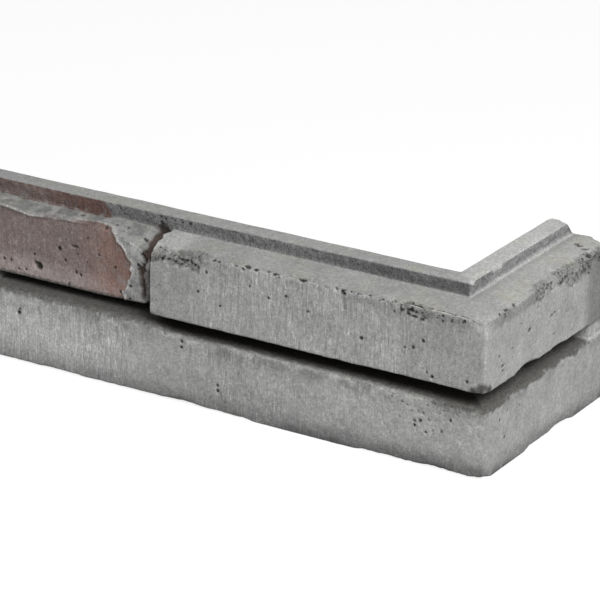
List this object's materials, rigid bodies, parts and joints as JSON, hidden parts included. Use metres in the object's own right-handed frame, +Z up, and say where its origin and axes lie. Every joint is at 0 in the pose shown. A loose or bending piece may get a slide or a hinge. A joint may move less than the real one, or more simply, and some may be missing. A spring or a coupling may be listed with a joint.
{
  "type": "corner brick slip",
  "caption": "L-shaped gypsum corner slip: courses of long brick faces with open joints, cast on a back plate that stands proud as a seat.",
  "frame": {"origin": "middle of the plan's bounding box, on the underside", "axes": "+X along the long arm to the outer corner, +Y along the short arm away from the corner, +Z up through the courses"},
  "size_m": [0.4052, 0.1722, 0.115],
  "materials": {
    "cast_gypsum": "rough, grey, as cast"
  },
  "bodies": {
    "root": {"corner_slip": "cast_gypsum"}
  },
  "joints": []
}
